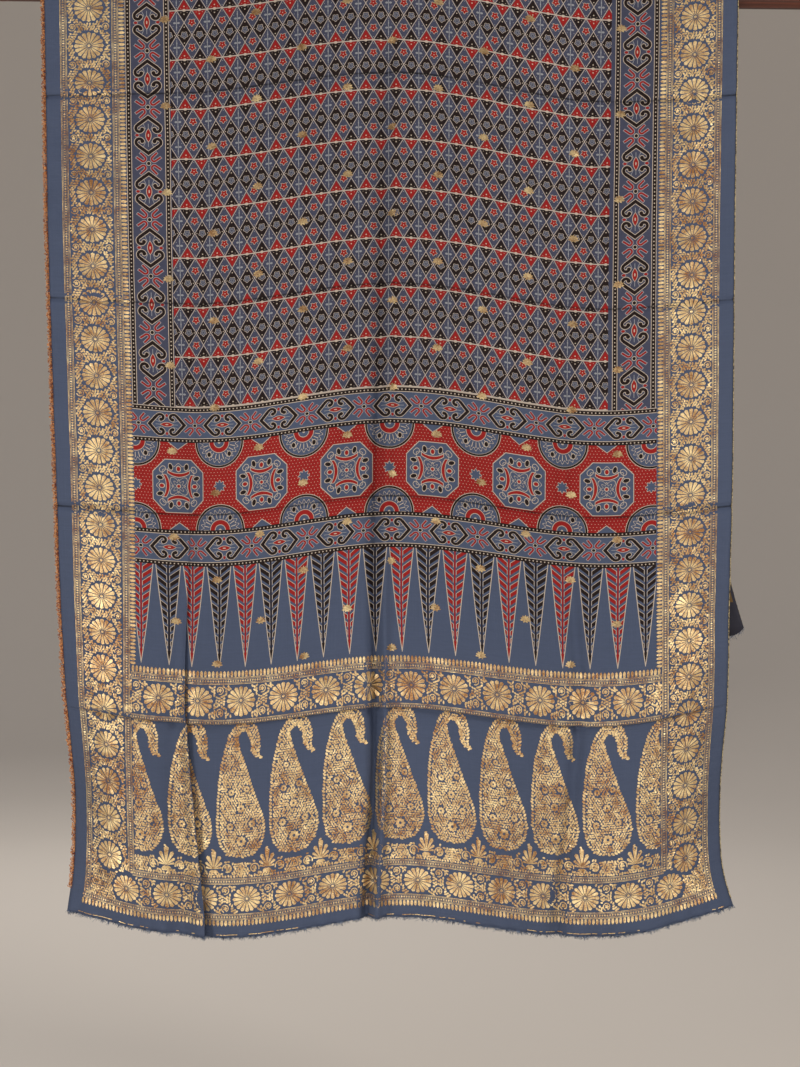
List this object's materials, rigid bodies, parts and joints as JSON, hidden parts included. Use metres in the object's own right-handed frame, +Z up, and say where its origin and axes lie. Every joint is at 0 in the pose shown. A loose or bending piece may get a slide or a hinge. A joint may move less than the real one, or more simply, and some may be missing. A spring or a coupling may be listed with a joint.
{
  "type": "ajrakh cloth on a rod",
  "caption": "Block-printed cloth with woven gold borders, hung over a round wooden rod: a long patterned fall in front and a shorter one behind, with frayed hems.",
  "frame": {"origin": "middle of the rod's axis", "axes": "+Z up, with the falls hanging along -Z; the decorated face looks along -Y; +X runs along the rod to the viewer's right, and the rod drops 0.6 degrees that way"},
  "size_m": [1.3704, 0.1147, 1.5735],
  "materials": {
    "printed_cloth": "fine soft weave, block printed in red, black and cream, with gold woven borders",
    "frayed_threads": "loose raw threads",
    "dark_wood": "satin"
  },
  "bodies": {
    "root": {"cloth": "printed_cloth", "hem_fringe_front": "frayed_threads", "hem_fringe_back": "frayed_threads", "rod": "dark_wood"}
  },
  "joints": []
}
